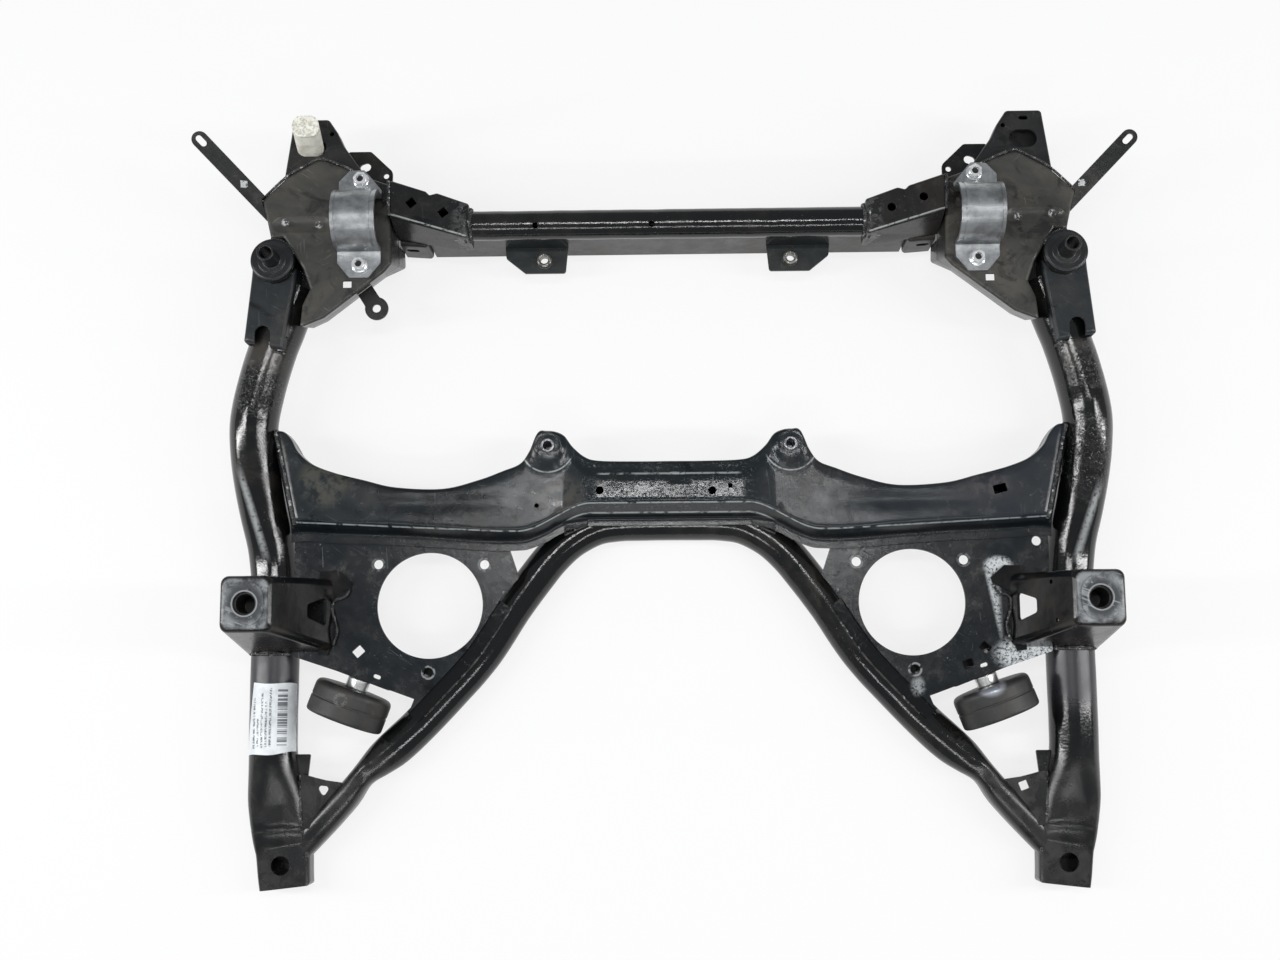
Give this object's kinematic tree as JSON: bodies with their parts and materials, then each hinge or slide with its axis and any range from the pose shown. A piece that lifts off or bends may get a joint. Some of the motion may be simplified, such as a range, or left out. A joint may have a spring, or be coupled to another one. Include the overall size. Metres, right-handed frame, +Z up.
{
  "type": "vehicle front-axle subframe",
  "caption": "Welded tube-and-sheet front-axle subframe with a V brace, a pressed crossmember, mounting towers, engine-mount plates and bolted bar clamps.",
  "frame": {"origin": "middle of the frame's footprint, at the level that it rests on", "axes": "+X across the car to the viewer's right, +Y to the car's front, +Z up"},
  "size_m": [0.9944, 0.8222, 0.148],
  "materials": {
    "tube_paint": "gloss black dip paint",
    "sheet_paint": "satin black dip paint, scuffed",
    "corner_paint": "dusty satin black paint",
    "channel_paint": "smooth satin black paint",
    "clamp_zinc": "dull zinc",
    "bolt_steel": "bright plated steel",
    "bare_steel": "plain steel",
    "damper_iron": "dark cast iron, worn",
    "rubber": "matt black",
    "plug_plastic": "ivory, rough",
    "label_film": "white film"
  },
  "bodies": {
    "root": {"crossmember_lower": "sheet_paint", "crossmember_upper": "sheet_paint", "front_cross_tube": "tube_paint", "left_bar_clamp": "clamp_zinc", "left_beam_bracket": "tube_paint", "left_beam_lower_bracket": "sheet_paint", "left_bush_barrel": "tube_paint", "left_bush_rubber": "rubber", "left_bush_spool": "tube_paint", "left_channel_bracket": "channel_paint", "left_clamp_bolt_front": "bolt_steel", "left_clamp_bolt_rear": "bolt_steel", "left_corner_lower_plate": "sheet_paint", "left_corner_plate": "corner_paint", "left_damper_drum": "damper_iron", "left_damper_stud": "bare_steel", "left_engine_mount_plate": "sheet_paint", "left_foot_gusset": "tube_paint", "left_front_bracket": "sheet_paint", "left_hanger_bracket": "sheet_paint", "left_hanger_nut": "bare_steel", "left_rack_boss": "bare_steel", "left_rail_lug": "tube_paint", "left_side_rail": "tube_paint", "left_stay": "tube_paint", "left_tower": "tube_paint", "left_tower_sleeve": "bare_steel", "lower_front_beam": "sheet_paint", "plug": "plug_plastic", "rail_label": "label_film", "right_bar_clamp": "clamp_zinc", "right_beam_bracket": "tube_paint", "right_beam_lower_bracket": "sheet_paint", "right_bush_barrel": "tube_paint", "right_bush_rubber": "rubber", "right_bush_spool": "tube_paint", "right_channel_bracket": "channel_paint", "right_clamp_bolt_front": "bolt_steel", "right_clamp_bolt_rear": "bolt_steel", "right_corner_lower_plate": "sheet_paint", "right_corner_plate": "corner_paint", "right_damper_drum": "damper_iron", "right_damper_stud": "bare_steel", "right_engine_mount_plate": "sheet_paint", "right_foot_gusset": "tube_paint", "right_front_bracket": "sheet_paint", "right_hanger_bracket": "sheet_paint", "right_hanger_nut": "bare_steel", "right_rack_boss": "bare_steel", "right_rail_lug": "tube_paint", "right_side_rail": "tube_paint", "right_stay": "tube_paint", "right_tower": "tube_paint", "right_tower_sleeve": "bare_steel", "ring_tab": "sheet_paint", "v_brace": "tube_paint"}
  },
  "joints": []
}
